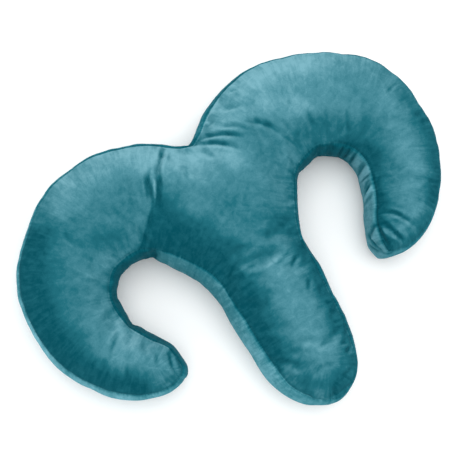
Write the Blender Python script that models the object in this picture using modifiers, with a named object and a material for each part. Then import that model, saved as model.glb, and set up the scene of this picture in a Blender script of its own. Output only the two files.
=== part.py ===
"""Positioning pillow: a boxed velvet pillow with two curved arms and one leg, lying on its back.

The pillow is one filled solid, because its cover is closed by seams all round. The plan is a
sheet of quads in the shape of a T: one strip runs from the left tip through the middle to the
right tip, and the leg grows from its middle. The sheet is extruded once, and the walls get a
middle line, which gives the bottom panel, the bulging boxing and the top panel. The cage is then
pushed out until the subdivided surface passes through the sections below, the seams are drawn in,
the folds are pressed in, and the underside is flattened where it lies on the ground.

Sizes are in millimetres in the plan's own frame: the notch between the arms is the origin, the
leg points to -Y and the right arm lies to +X. The finished mesh is in metres, with the middle of
its plan over the world's origin and its underside on z = 0.
"""

from collections import namedtuple

import bmesh
import bpy
import numpy as np
from mathutils import Matrix, Vector

MM = 0.001

# Heights of the two seams, and what the filling pushes out past them
BOTTOM_SEAM = 22.0
BOXING = 130.0
TOP_SEAM = BOTTOM_SEAM + BOXING
BULGE = 18.0
TIP_BULGE = 12.0
CROWN = 46.0
CROWN_REACH = 150.0
BELLY = 30.0

# How far the stitching draws the seams in, and how sharply that ends beside them
SEAM_DRAW = 4.0
SEAM_NARROWNESS = 8

# The middle of the plan's box, which becomes the origin
PLAN_CENTRE = (7.0, -309.0)

# How the surface is worked out
SUBDIVISIONS = 4
FIT_ROUNDS = 4
SEAM_CREASE = 0.5
TRIANGLE_SHARE = 0.04

# Sections of the arms, from the left tip to the right tip: where the silhouette's outer side and
# inner side lie, how far the section bows out along the arm, which rounds the tips, and how far
# the boxing bulges there. The middle's five sections end where the leg begins.
Section = namedtuple(
    "Section", "outer_x outer_y inner_x inner_y bow bulge", defaults=(0, BULGE)
)
LEFT_ARM = (
    Section(-288, -482, -260, -446, 8, TIP_BULGE),
    Section(-330, -490, -264, -402, 0, TIP_BULGE),
    Section(-405, -465, -281, -370),
    Section(-475, -399, -302, -336),
    Section(-525, -305, -318, -305),
    Section(-535, -190, -324, -270),
    Section(-506, -82, -321, -236),
    Section(-430, 9, -306, -208),
    Section(-345, 67, -284, -190),
    Section(-265, 88, -252, -184),
    Section(-190, 87, -218, -190),
)
MIDDLE = (
    Section(-112, 65, -185, -226),
    Section(-48, 31, -92, -222),
    Section(3, -1, 2, -220),
    Section(49, 25, 96, -216),
    Section(108, 62, 188, -208),
)
RIGHT_ARM = (
    Section(187, 84, 222, -188),
    Section(265, 83, 262, -184),
    Section(349, 60, 298, -200),
    Section(430, 21, 321, -225),
    Section(500, -42, 329, -256),
    Section(541, -135, 326, -288),
    Section(547, -235, 315, -320),
    Section(526, -330, 299, -352),
    Section(478, -413, 280, -383),
    Section(410, -468, 266, -414, 0, TIP_BULGE),
    Section(345, -487, 261, -444, 0, TIP_BULGE),
    Section(300, -485, 265, -468, 7, TIP_BULGE),
)

# Sections of the leg, from the arms to its tip: both ends of the silhouette on one line
Row = namedtuple("Row", "y left right bow bulge", defaults=(0, BULGE))
LEG = (
    Row(-286, -147, 144),
    Row(-345, -128, 128),
    Row(-415, -124, 128),
    Row(-495, -123, 123),
    Row(-570, -119, 114),
    Row(-628, -103, 99),
    Row(-672, -74, 74, 0, TIP_BULGE),
    Row(-692, -48, 48, 17, TIP_BULGE),
)

# Folds of the top panel: three points on each, and the depth and half width of its trough.
# A negative depth is a ridge. A fold is deepest in its middle and runs out at both ends.
Fold = namedtuple("Fold", "x0 y0 x1 y1 x2 y2 depth width")
NOTCH_FOLDS = (
    Fold(-4, 10, 8, -12, 26, -30, 15, 12),
    Fold(12, -12, 71, -35, 119, -75, 12, 8),
    Fold(18, -26, 63, -57, 104, -108, 11, 8),
    Fold(79, -21, 111, -37, 135, -65, 7, 8),
    Fold(129, -35, 172, -65, 195, -106, 8, 10),
    Fold(195, -102, 212, -133, 226, -160, 4, 10),
    Fold(104, 16, 127, 8, 164, -5, 5, 10),
    Fold(10, -36, 23, -58, 36, -80, 4, 9),
)
PANEL_SEAM_FOLDS = (
    Fold(-38, 20, -77, -17, -104, -46, 12, 8),
    Fold(-94, -32, -117, -79, -150, -116, 13, 7),
    Fold(-104, -22, -124, -46, -149, -103, 8, 7),
    Fold(-116, -46, -128, -83, -148, -109, -5, 6),
    Fold(-138, -90, -182, -137, -232, -182, 6, 7),
)
ARM_FOLDS = (
    Fold(-351, -52, -351, -78, -341, -100, 5, 8),
    Fold(-329, -132, -331, -146, -334, -170, 4, 10),
    Fold(-376, -135, -360, -156, -345, -180, -3, 10),
    Fold(-352, -310, -377, -327, -407, -357, 5, 8),
    Fold(-372, -379, -387, -401, -405, -429, 5, 9),
    Fold(278, -93, 276, -112, 274, -133, 4, 8),
    Fold(212, -73, 219, -98, 221, -124, 3, 8),
    Fold(511, -136, 486, -140, 464, -150, 4, 10),
    Fold(525, -229, 505, -227, 483, -229, 5, 9),
    Fold(460, -392, 450, -381, 435, -378, 5, 8),
)
LEG_FOLDS = (
    Fold(96, -362, 74, -375, 52, -387, 6, 8),
    Fold(84, -425, 71, -440, 61, -456, 5, 8),
    Fold(100, -451, 91, -461, 81, -473, 4, 8),
    Fold(70, -351, 49, -359, 24, -367, 4, 8),
    Fold(-54, -321, -13, -325, 29, -327, 4, 9),
    Fold(-97, -327, -60, -333, -18, -329, -3, 8),
    Fold(-102, -340, -52, -349, -10, -365, 4, 9),
    Fold(-39, -348, 14, -356, 78, -346, -3, 9),
)
TIP_FOLDS = (
    Fold(292, -378, 335, -397, 359, -439, 6, 9),
    Fold(296, -386, 308, -435, 315, -472, 6, 8),
    Fold(291, -388, 275, -431, 271, -467, 6, 8),
    Fold(-307, -389, -314, -412, -328, -439, 5, 8),
    Fold(-280, -406, -290, -440, -294, -475, 6, 8),
)
FOLDS = NOTCH_FOLDS + PANEL_SEAM_FOLDS + ARM_FOLDS + LEG_FOLDS + TIP_FOLDS
FOLD_SAMPLES = 17
FOLD_FADE = 30.0

# Gathers of the boxing, where it is eased round the inside of the right arm
GATHERS_CENTRE = (246.0, -262.0)
GATHERS_FROM, GATHERS_TO = np.radians((-22.0, 86.0))
GATHERS_REACH = 150.0
GATHER_COUNT = 10
GATHER_DEPTH = 4.0
GATHER_UNEVENNESS = 0.03

VELVET = (0.0612, 0.2462, 0.3050, 1.0)

ACROSS = 4
SECTIONS = LEFT_ARM + MIDDLE + RIGHT_ARM
LEG_START = len(LEFT_ARM)
LEG_END = LEG_START + ACROSS
BOTTOM, WAIST, TOP = 0, 1, 2
SEAM_GROUP = 0


def clear_scene():
    for obj in list(bpy.data.objects):
        bpy.data.objects.remove(obj, do_unlink=True)


def velvet_material():
    material = bpy.data.materials.new("Teal velvet")
    material.use_nodes = True
    shader = material.node_tree.nodes["Principled BSDF"]
    shader.inputs["Base Color"].default_value = VELVET
    shader.inputs["Roughness"].default_value = 0.9
    shader.inputs["Metallic"].default_value = 0.0
    material.diffuse_color = VELVET
    return material


def chart_sheet():
    """The plan's sheet, in a chart of whole numbers: x counts the sections, y the columns."""
    sections, columns = len(SECTIONS) - 1, ACROSS + len(LEG)
    bm = bmesh.new()
    bmesh.ops.create_grid(
        bm,
        x_segments=sections,
        y_segments=columns,
        size=0.5,
        matrix=Matrix.Diagonal((sections, columns, 1, 1)) @ Matrix.Translation((0.5, 0.5, 0)),
    )
    beside_leg = [face for face in bm.faces if not in_plan(face.calc_center_median())]
    bmesh.ops.delete(bm, geom=beside_leg, context="FACES")
    return bm


def in_plan(chart):
    return chart.y < ACROSS or LEG_START < chart.x < LEG_END


def chart_key(vert):
    return round(vert.co.x), round(vert.co.y)


def silhouette_point(key):
    """Where a point of the chart lies when the sheet is stretched out to the silhouette."""
    section, column = key
    if column <= ACROSS:
        row = SECTIONS[section]
        start, end = Vector((row.outer_x, row.outer_y)), Vector((row.inner_x, row.inner_y))
        share = column / ACROSS
        before = SECTIONS[1] if section == 0 else SECTIONS[section - 1]
        before_outer = Vector((before.outer_x, before.outer_y))
        before_inner = Vector((before.inner_x, before.inner_y))
        along = start + end - before_outer - before_inner
    else:
        row = LEG[column - ACROSS - 1]
        start, end = Vector((row.left, row.y)), Vector((row.right, row.y))
        share = (section - LEG_START) / ACROSS
        along = Vector((0, -1))
    bow = row.bow * 4 * share * (1 - share)
    return start.lerp(end, share) + along.normalized() * bow


def rim_directions(sheet, plan):
    """The way out, level and square to the silhouette, at each point of the sheet's rim."""
    out = {}
    for edge in sheet.edges:
        if not edge.is_boundary:
            continue
        a, b = (chart_key(vert) for vert in edge.verts)
        middle = sum((plan[chart_key(v)] for v in edge.link_faces[0].verts), Vector((0, 0))) / 4
        along = plan[b] - plan[a]
        side = Vector((along.y, -along.x)).normalized()
        if side.dot((plan[a] + plan[b]) / 2 - middle) < 0:
            side.negate()
        for key in (a, b):
            out[key] = out.get(key, Vector((0, 0))) + side
    return {key: direction.normalized() for key, direction in out.items()}


def seam_plan(plan, out):
    """The plan drawn in from the silhouette to the seams, with each section spread evenly."""
    seam = dict(plan)
    for section, column in out:
        row = SECTIONS[section] if column <= ACROSS else LEG[column - ACROSS - 1]
        seam[section, column] = plan[section, column] - out[section, column] * row.bulge
    for (section, column), point in plan.items():
        if (section, column) in out:
            continue
        if column < ACROSS:
            ends, share = ((section, 0), (section, ACROSS)), column / ACROSS
        else:
            ends = ((LEG_START, column), (LEG_END, column))
            share = (section - LEG_START) / ACROSS
        spread = seam[ends[0]].lerp(seam[ends[1]], share)
        seam[section, column] = spread if column != ACROSS else point
    return seam


def distance_to_line(points, line, closed=False):
    """How far each plan point is from a line of points, and how far along the line that is."""
    ends = np.roll(line, -1, axis=0) if closed else line[1:]
    starts = line if closed else line[:-1]
    best = np.full(len(points), np.inf)
    place = np.zeros(len(points))
    for number, (start, end) in enumerate(zip(starts, ends)):
        step = end - start
        share = np.clip((points - start) @ step / (step @ step), 0, 1)
        gap = np.linalg.norm(points - start - share[:, None] * step, axis=1)
        nearer = gap < best
        best[nearer] = gap[nearer]
        place[nearer] = (number + share[nearer]) / len(starts)
    return best, place


def rim_loop(sheet):
    """The keys of the rim, in order round the sheet."""
    links = {}
    for edge in sheet.edges:
        if edge.is_boundary:
            a, b = (chart_key(vert) for vert in edge.verts)
            links.setdefault(a, []).append(b)
            links.setdefault(b, []).append(a)
    loop = [(0, 0)]
    while len(loop) < len(links):
        loop.append(next(key for key in links[loop[-1]] if key not in loop[-2:]))
    return loop


def wanted_points(sheet):
    """Where the surface should pass, for each key and level of the cage."""
    plan = {chart_key(vert): silhouette_point(chart_key(vert)) for vert in sheet.verts}
    out = rim_directions(sheet, plan)
    seam = seam_plan(plan, out)
    keys = list(plan)
    rim = np.array([seam[key] for key in rim_loop(sheet)])
    inset, _ = distance_to_line(np.array([seam[key] for key in keys]), rim, closed=True)
    rise = np.sqrt(1 - (1 - np.minimum(inset / CROWN_REACH, 1)) ** 2)
    points = {}
    for key, share in zip(keys, rise):
        points[key, BOTTOM] = (*seam[key], BOTTOM_SEAM - BELLY * share)
        points[key, WAIST] = (*plan[key], BOTTOM_SEAM + BOXING / 2)
        points[key, TOP] = (*seam[key], TOP_SEAM + CROWN * share)
    return points


def pillow_cage():
    """The closed cage in millimetres, and where the surface should pass at each of its points."""
    bm = chart_sheet()
    points = wanted_points(bm)
    top = bmesh.ops.extrude_face_region(bm, geom=list(bm.faces))["geom"]
    raised = [item for item in top if isinstance(item, bmesh.types.BMVert)]
    bmesh.ops.translate(bm, vec=(0, 0, TOP), verts=raised)
    upright = [edge for edge in bm.edges if edge.verts[0].co.z != edge.verts[1].co.z]
    bmesh.ops.subdivide_edges(bm, edges=upright, cuts=1)
    bm.normal_update()
    levels = {vert: round(vert.co.z) for vert in bm.verts}
    wanted = np.array([points[chart_key(vert), levels[vert]] for vert in bm.verts])
    crease = bm.edges.layers.float.new("crease_edge")
    weights = bm.verts.layers.deform.verify()
    for edge in bm.edges:
        on_panel = {abs(round(face.normal.z)) == 1 for face in edge.link_faces}
        if on_panel == {True, False}:
            edge[crease] = SEAM_CREASE
            for vert in edge.verts:
                vert[weights][SEAM_GROUP] = 1.0
    for vert, point in zip(bm.verts, wanted):
        vert.co = point
    bmesh.ops.recalc_face_normals(bm, faces=bm.faces)
    mesh = bpy.data.meshes.new("pillow cage")
    bm.to_mesh(mesh)
    bm.free()
    return mesh, wanted


def mesh_points(mesh):
    points = np.empty(len(mesh.vertices) * 3)
    mesh.vertices.foreach_get("co", points)
    return points.reshape(-1, 3)


def set_points(mesh, points):
    mesh.vertices.foreach_set("co", np.ascontiguousarray(points, dtype=float).ravel())
    mesh.update()


def subdivided(obj):
    graph = bpy.context.evaluated_depsgraph_get()
    graph.update()
    return bpy.data.meshes.new_from_object(obj.evaluated_get(graph))


def fitted_surface(obj, wanted):
    """Pushes the cage out until the subdivided surface passes through the wanted points."""
    surface = subdivided(obj)
    for _ in range(FIT_ROUNDS):
        miss = wanted - mesh_points(surface)[: len(wanted)]
        set_points(obj.data, mesh_points(obj.data) + miss)
        bpy.data.meshes.remove(surface)
        surface = subdivided(obj)
    return surface


def draw_in_seams(surface, points):
    """Sinks the surface along both seams, the way stitching holds a stuffed cover in."""
    nearness = np.zeros(len(points))
    for vert in surface.vertices:
        for member in vert.groups:
            nearness[vert.index] = member.weight
    normals = np.empty(len(points) * 3)
    surface.vertices.foreach_get("normal", normals)
    points -= normals.reshape(-1, 3) * SEAM_DRAW * (nearness**SEAM_NARROWNESS)[:, None]


def fold_line(fold):
    """Points along the curve through a fold's three points."""
    start, middle, end = np.array(fold[:6], dtype=float).reshape(3, 2)
    bend = 2 * middle - (start + end) / 2
    t = np.linspace(0, 1, FOLD_SAMPLES)[:, None]
    return (1 - t) ** 2 * start + 2 * t * (1 - t) * bend + t**2 * end


def press_folds(points):
    """Sinks the top panel along its folds. The boxing below the seam takes part in them less."""
    height = np.clip((points[:, 2] - TOP_SEAM + FOLD_FADE) / FOLD_FADE, 0, 1)
    for fold in FOLDS:
        gap, place = distance_to_line(points[:, :2], fold_line(fold))
        strength = np.sqrt(np.sin(np.pi * place))
        points[:, 2] -= fold.depth * strength * height * np.exp(-((gap / fold.width) ** 2))


def press_gathers(points):
    """Upright gathers in the boxing round the inside of the right arm."""
    arm = points[:, :2] - GATHERS_CENTRE
    angle = np.arctan2(arm[:, 1], arm[:, 0])
    reach = np.linalg.norm(arm, axis=1)
    share = np.clip((angle - GATHERS_FROM) / (GATHERS_TO - GATHERS_FROM), 0, 1)
    spaced = share + GATHER_UNEVENNESS * np.sin(4 * np.pi * share)
    wave = np.sqrt(np.sin(np.pi * share)) * np.cos(2 * np.pi * GATHER_COUNT * spaced)
    level = np.clip(1 - np.abs(points[:, 2] - BOTTOM_SEAM - BOXING / 2) / (BOXING / 2), 0, 1)
    depth = GATHER_DEPTH * wave * np.sqrt(level) * (reach < GATHERS_REACH)
    points[:, :2] += arm / np.maximum(reach, 1)[:, None] * depth[:, None]


def pillow(material):
    cage, wanted = pillow_cage()
    obj = bpy.data.objects.new("pillow", cage)
    collection = bpy.data.collections.new("Positioning pillow")
    bpy.context.scene.collection.children.link(collection)
    collection.objects.link(obj)
    obj.vertex_groups.new(name="Seams")
    subdivision = obj.modifiers.new("Soft form", "SUBSURF")
    subdivision.levels = subdivision.render_levels = SUBDIVISIONS
    surface = fitted_surface(obj, wanted)

    points = mesh_points(surface)
    draw_in_seams(surface, points)
    press_folds(points)
    press_gathers(points)
    points[:, 2] = np.maximum(points[:, 2], 0)
    points[:, :2] -= PLAN_CENTRE
    set_points(surface, points * MM)

    obj.modifiers.remove(subdivision)
    obj.data = surface
    bpy.data.meshes.remove(cage)
    surface.name = "pillow"
    surface.materials.append(material)
    surface.shade_smooth()
    thinning = obj.modifiers.new("Fewer faces", "DECIMATE")
    thinning.ratio = TRIANGLE_SHARE
    return obj


clear_scene()
pillow(velvet_material())
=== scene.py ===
from collections import namedtuple

import bmesh
import bpy
import numpy as np
from mathutils import Matrix, Vector, kdtree, noise


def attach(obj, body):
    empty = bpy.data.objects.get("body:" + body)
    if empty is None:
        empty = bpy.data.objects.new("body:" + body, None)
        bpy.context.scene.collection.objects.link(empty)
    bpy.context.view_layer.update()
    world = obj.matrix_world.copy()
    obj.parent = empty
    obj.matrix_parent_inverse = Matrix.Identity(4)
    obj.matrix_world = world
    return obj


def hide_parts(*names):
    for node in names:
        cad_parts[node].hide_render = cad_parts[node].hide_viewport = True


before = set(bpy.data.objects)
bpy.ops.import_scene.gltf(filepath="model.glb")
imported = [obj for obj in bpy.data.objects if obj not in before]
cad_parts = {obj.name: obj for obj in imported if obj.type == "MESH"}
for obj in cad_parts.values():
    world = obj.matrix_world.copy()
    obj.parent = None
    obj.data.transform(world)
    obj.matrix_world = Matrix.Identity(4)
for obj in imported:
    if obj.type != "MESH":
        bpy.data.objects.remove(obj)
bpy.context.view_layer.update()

# %% [markdown]
# ## Sizes of the cover
# All sizes are in millimetres in the pattern's own plan: the notch between the arms is the
# origin, the leg points to -Y and the right arm lies to +X. One factor turns them to metres,
# and one shift puts the middle of the plan over the world's origin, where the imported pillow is.
# The boxing is 130 mm high. The stuffing pushes it out past the seams, by most along the leg
# and by least at the tips, and pushes the panels up into a crown.
# %% Named sizes
MM = 0.001
PLAN_CENTRE = (7.0, -309.0)

BOTTOM_SEAM = 22.0
BOXING = 130.0
TOP_SEAM = BOTTOM_SEAM + BOXING
BULGE = 12.0
WIDE_BULGE = 25.0
TIP_BULGE = 10.0
CROWN = 46.0
CROWN_REACH = 150.0
BELLY = 30.0
print("Seams at", BOTTOM_SEAM, "and", TOP_SEAM, "mm above the ground")

# %% [markdown]
# ## The pattern's sections
# A maker drafts such a shape from widths measured across it. The same is done here: each row
# gives where the silhouette's outer and inner side lie on one line across an arm, and the leg
# has its own rows. The rounded tips bow out a little past their last line. The last columns say
# how far the boxing bulges past its seam on either side, where that is not the usual.
# %% Sections of the arms and of the leg
Section = namedtuple(
    "Section",
    "outer_x outer_y inner_x inner_y bow outer_bulge inner_bulge",
    defaults=(0, BULGE, BULGE),
)
LEFT_ARM = (
    Section(-288, -482, -260, -446, 8, TIP_BULGE, TIP_BULGE),
    Section(-330, -490, -264, -402, 0, TIP_BULGE, TIP_BULGE),
    Section(-405, -465, -281, -370),
    Section(-475, -399, -302, -336),
    Section(-525, -305, -318, -305),
    Section(-535, -190, -324, -270),
    Section(-506, -82, -321, -236),
    Section(-430, 9, -306, -208),
    Section(-345, 67, -284, -190),
    Section(-265, 88, -252, -184),
    Section(-190, 87, -218, -190, 0, BULGE, 13),
)
MIDDLE = (
    Section(-112, 65, -185, -226, 0, BULGE, 20),
    Section(-48, 31, -92, -222, 0, BULGE, WIDE_BULGE),
    Section(3, -1, 2, -220),
    Section(49, 25, 96, -216),
    Section(108, 62, 190, -211),
)
RIGHT_ARM = (
    Section(187, 84, 223, -192),
    Section(265, 83, 262, -184),
    Section(349, 59, 299, -198),
    Section(429, 17, 323, -223),
    Section(499, -45, 331, -256),
    Section(541, -135, 326, -288),
    Section(545, -234, 315, -320),
    Section(523, -328, 299, -352),
    Section(475, -410, 280, -383),
    Section(408, -465, 266, -414, 0, TIP_BULGE, 14),
    Section(345, -487, 261, -444, 0, 8, 12),
    Section(300, -485, 266, -466, 8, 6, 8),
)
SECTIONS = LEFT_ARM + MIDDLE + RIGHT_ARM

Row = namedtuple(
    "Row", "y left right bow left_bulge right_bulge", defaults=(0, WIDE_BULGE, BULGE)
)
LEG = (
    Row(-286, -147, 149),
    Row(-345, -128, 131),
    Row(-415, -124, 128),
    Row(-495, -123, 123),
    Row(-570, -119, 114),
    Row(-628, -103, 99, 0, 20),
    Row(-672, -74, 74, 0, 16, TIP_BULGE),
    Row(-692, -48, 48, 17, TIP_BULGE, TIP_BULGE),
)
print(len(SECTIONS), "sections across the arms and", len(LEG), "across the leg")

# %% [markdown]
# ## A sheet in the shape of a T
# The cover's plan is a strip over both arms, with the leg growing from its middle. It starts as
# a plain grid in whole numbers, a chart in which x counts the sections and y the columns. The
# faces beside the leg are deleted. Working in a chart keeps the quads in order, and the points
# get their real places in one later step.
# %% The chart
ACROSS = 4
LEG_START = len(LEFT_ARM)
LEG_END = LEG_START + ACROSS


def in_plan(chart):
    return chart.y < ACROSS or LEG_START < chart.x < LEG_END


def chart_key(vert):
    return round(vert.co.x), round(vert.co.y)


def chart_sheet():
    sections, columns = len(SECTIONS) - 1, ACROSS + len(LEG)
    bm = bmesh.new()
    bmesh.ops.create_grid(
        bm,
        x_segments=sections,
        y_segments=columns,
        size=0.5,
        matrix=Matrix.Diagonal((sections, columns, 1, 1)) @ Matrix.Translation((0.5, 0.5, 0)),
    )
    beside_leg = [face for face in bm.faces if not in_plan(face.calc_center_median())]
    bmesh.ops.delete(bm, geom=beside_leg, context="FACES")
    return bm


sheet = chart_sheet()
print("The plan's sheet has", len(sheet.faces), "quads")

# %% [markdown]
# ## From the chart to the plan
# Each point of the chart gets a place on the silhouette, which is the outline at half height.
# Points between its two sides are spread evenly, and a bow rounds the end of a tip.
# %% Places on the silhouette
def silhouette_point(key):
    section, column = key
    if column <= ACROSS:
        row = SECTIONS[section]
        start, end = Vector((row.outer_x, row.outer_y)), Vector((row.inner_x, row.inner_y))
        share = column / ACROSS
        before = SECTIONS[1] if section == 0 else SECTIONS[section - 1]
        before_outer = Vector((before.outer_x, before.outer_y))
        before_inner = Vector((before.inner_x, before.inner_y))
        along = start + end - before_outer - before_inner
    else:
        row = LEG[column - ACROSS - 1]
        start, end = Vector((row.left, row.y)), Vector((row.right, row.y))
        share = (section - LEG_START) / ACROSS
        along = Vector((0, -1))
    bow = row.bow * 4 * share * (1 - share)
    return start.lerp(end, share) + along.normalized() * bow


plan = {chart_key(vert): silhouette_point(chart_key(vert)) for vert in sheet.verts}
print(len(plan), "points have a place in the plan")

# %% [markdown]
# ## The way out
# The boxing bulges square to the outline, so each point on the rim needs the way out there. It
# is the mean of the directions square to the two edges that meet in the point.
# %% Directions at the rim
def rim_directions(plan):
    out = {}
    for edge in sheet.edges:
        if not edge.is_boundary:
            continue
        a, b = (chart_key(vert) for vert in edge.verts)
        middle = sum((plan[chart_key(v)] for v in edge.link_faces[0].verts), Vector((0, 0))) / 4
        along = plan[b] - plan[a]
        side = Vector((along.y, -along.x)).normalized()
        if side.dot((plan[a] + plan[b]) / 2 - middle) < 0:
            side.negate()
        for key in (a, b):
            out[key] = out.get(key, Vector((0, 0))) + side
    return {key: direction.normalized() for key, direction in out.items()}


rim_out = rim_directions(plan)
print(len(rim_out), "points lie on the rim")

# %% [markdown]
# ## Seams inside the silhouette
# The seams lie inside the silhouette by the boxing's bulge. On the real pillow the pattern's
# seam line is what the maker draws, and the bulge comes with the stuffing. A photograph shows
# the bulge's edge first, so here it is the other way round.
# %% Places of the seams
def seam_plan(plan, out):
    seam = dict(plan)
    for section, column in out:
        if column <= ACROSS:
            row = SECTIONS[section]
            first, last, share = row.outer_bulge, row.inner_bulge, column / ACROSS
        else:
            row = LEG[column - ACROSS - 1]
            first, last, share = row.left_bulge, row.right_bulge, (section - LEG_START) / ACROSS
        bulge = first + (last - first) * share
        seam[section, column] = plan[section, column] - out[section, column] * bulge
    for (section, column), point in plan.items():
        if (section, column) in out or column == ACROSS:
            continue
        if column < ACROSS:
            ends, share = ((section, 0), (section, ACROSS)), column / ACROSS
        else:
            ends = ((LEG_START, column), (LEG_END, column))
            share = (section - LEG_START) / ACROSS
        seam[section, column] = seam[ends[0]].lerp(seam[ends[1]], share)
    return seam


seams = seam_plan(plan, rim_out)
widest = max((plan[key] - seams[key]).length for key in rim_out)
print("The seams lie up to", round(widest, 1), "mm inside the silhouette")

# %% [markdown]
# ## Measuring from a line
# The crown, the folds and the brushed strokes all depend on how far a point is from a line. One
# helper measures that for all the points at once, and says how far along the line the nearest
# place is, from 0 at its start to 1 at its end.
# %% Distance to a line
def distance_to_line(points, line, closed=False):
    ends = np.roll(line, -1, axis=0) if closed else line[1:]
    starts = line if closed else line[:-1]
    best = np.full(len(points), np.inf)
    place = np.zeros(len(points))
    for number, (start, end) in enumerate(zip(starts, ends)):
        step = end - start
        share = np.clip((points - start) @ step / (step @ step), 0, 1)
        gap = np.linalg.norm(points - start - share[:, None] * step, axis=1)
        nearer = gap < best
        best[nearer] = gap[nearer]
        place[nearer] = (number + share[nearer]) / len(starts)
    return best, place


square = np.array([(0, 0), (1, 0), (1, 1), (0, 1)], dtype=float)
middle_gap, _ = distance_to_line(np.array([(0.5, 0.5)]), square, closed=True)
print("A unit square's middle is", middle_gap[0], "from its sides")

# %% [markdown]
# ## How high the stuffing lifts each point
# A stuffed panel rises steeply beside its seam and levels out further in, like a quarter of an
# ellipse. So the crown depends on how far a point is from the nearest seam. The rim's edges come
# in no order, so a second helper walks from point to point round the loop.
# %% Heights
def loop_through(links):
    """The points of one closed loop in order, from a table of each point's two neighbours."""
    loop = [next(iter(links))]
    while len(loop) < len(links):
        onward = [point for point in links[loop[-1]] if point not in loop[-2:]]
        if not onward or onward[0] == loop[0]:
            break
        loop.append(onward[0])
    return loop


def rim_links():
    links = {}
    for edge in sheet.edges:
        if edge.is_boundary:
            a, b = (chart_key(vert) for vert in edge.verts)
            links.setdefault(a, []).append(b)
            links.setdefault(b, []).append(a)
    return links


rim = np.array([seams[key] for key in loop_through(rim_links())])
inset, _ = distance_to_line(np.array([seams[key] for key in plan]), rim, closed=True)
lift = np.sqrt(1 - (1 - np.minimum(inset / CROWN_REACH, 1)) ** 2)
crown = dict(zip(plan, lift * CROWN))
print("The crown stands", round(max(crown.values()), 1), "mm above the top seam")

# %% [markdown]
# ## The closed cage
# Extruding the sheet once gives the other panel and the walls between them. A cut through all
# the upright edges adds the boxing's middle line, which bulges. While the sheet is still a flat
# chart, an upright face is easy to tell, so each face is given its cloth here.
# %% Extrude and cut
BOTTOM, WAIST, TOP = 0, 1, 2
PANEL_CLOTH, BOXING_CLOTH = 0, 1

top = bmesh.ops.extrude_face_region(sheet, geom=list(sheet.faces))["geom"]
raised = [item for item in top if isinstance(item, bmesh.types.BMVert)]
bmesh.ops.translate(sheet, vec=(0, 0, TOP), verts=raised)
pillars = [edge for edge in sheet.edges if edge.verts[0].co.z != edge.verts[1].co.z]
bmesh.ops.subdivide_edges(sheet, edges=pillars, cuts=1)
sheet.normal_update()
for face in sheet.faces:
    upright = round(face.normal.z) == 0
    face.material_index = BOXING_CLOTH if upright else PANEL_CLOTH
print("The chart has", len(sheet.verts), "points on three levels")

# %% [markdown]
# ## Finding the seams
# The edges where a wall meets a panel are the seams. Blender's extrusion makes the walls in an
# order that differs from run to run, and in another order the cloth simulation would fold the
# cover elsewhere. So every point is numbered by its place in the chart, and a seam's edge is
# noted as the numbers of its two points.
# %% Number the points and find the seams
def in_chart(vert):
    return *chart_key(vert), round(vert.co.z)


order = sorted(sheet.verts, key=in_chart)
number_of = {vert: number for number, vert in enumerate(order)}
sewn = set()
for edge in sheet.edges:
    on_panel = {abs(round(face.normal.z)) == 1 for face in edge.link_faces}
    if on_panel == {True, False}:
        sewn.add(tuple(sorted(number_of[vert] for vert in edge.verts)))
print(len(sewn), "edges are seams")

# %% [markdown]
# ## From the chart to the real places
# Now every point moves from the chart to its place: the silhouette at the waist, the seams'
# plan above and below, with the crown on top and the belly underneath. The belly hangs below the
# ground at first, and is pressed flat later, as the pillow's own weight does.
# %% Place the cage
def cage_point(key, level):
    if level == WAIST:
        return *plan[key], BOTTOM_SEAM + BOXING / 2
    if level == TOP:
        return *seams[key], TOP_SEAM + crown[key]
    return *seams[key], BOTTOM_SEAM - crown[key] * BELLY / CROWN


wanted = [cage_point(chart_key(vert), round(vert.co.z)) for vert in sheet.verts]
for vert, point in zip(sheet.verts, wanted):
    vert.co = Vector(point) - Vector((*PLAN_CENTRE, 0))
    vert.co *= MM
bmesh.ops.recalc_face_normals(sheet, faces=sheet.faces)
print("The seams' height is", BOXING, "mm")

# %% [markdown]
# ## The cage in a fixed order
# The cage's mesh is written from the numbered points, with its faces sorted and each face
# starting at its lowest number, so that it is the same in every run. The seams' edges are
# creased, so that the subdivided surface keeps a line there.
# %% Write the cage
SEAM_CREASE = 0.6


def from_lowest(corners):
    first = corners.index(min(corners))
    return corners[first:] + corners[:first]


faces = sorted(
    (from_lowest([number_of[vert] for vert in face.verts]), face.material_index)
    for face in sheet.faces
)
cage = bpy.data.meshes.new("velvet pillow")
cage.from_pydata([vert.co for vert in order], [], [corners for corners, cloth in faces])
cage.polygons.foreach_set("material_index", [cloth for corners, cloth in faces])
creases = cage.attributes.new("crease_edge", "FLOAT", "EDGE")
for edge in cage.edges:
    if tuple(sorted(edge.vertices)) in sewn:
        creases.data[edge.index].value = SEAM_CREASE
sheet.free()
print("The closed cage has", len(cage.polygons), "quads")

# %% [markdown]
# ## Reading and moving a mesh's points
# Blender hands a mesh's points over as one flat list, and NumPy folds it into rows of x, y and
# z. Four helpers read the points, their normals and how much each belongs to a seam, and put
# moved points back. Working on whole lists is many times faster than on one point at a time.
# %% Helpers for points
SEAM_GROUP = 0


def mesh_points(mesh):
    points = np.empty(len(mesh.vertices) * 3)
    mesh.vertices.foreach_get("co", points)
    return points.reshape(-1, 3)


def mesh_normals(mesh):
    normals = np.empty(len(mesh.vertices) * 3)
    mesh.vertices.foreach_get("normal", normals)
    return normals.reshape(-1, 3)


def set_points(mesh, points):
    mesh.vertices.foreach_set("co", np.ascontiguousarray(points, dtype=float).ravel())
    mesh.update()


def seam_weights(mesh):
    """How much each point belongs to the seams, from 0 to 1."""
    weights = np.zeros(len(mesh.vertices))
    for vert in mesh.vertices:
        for member in vert.groups:
            if member.group == SEAM_GROUP:
                weights[vert.index] = member.weight
    return weights


print("The cage spans", [round(c, 3) for c in np.ptp(mesh_points(cage), axis=0)])

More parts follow.
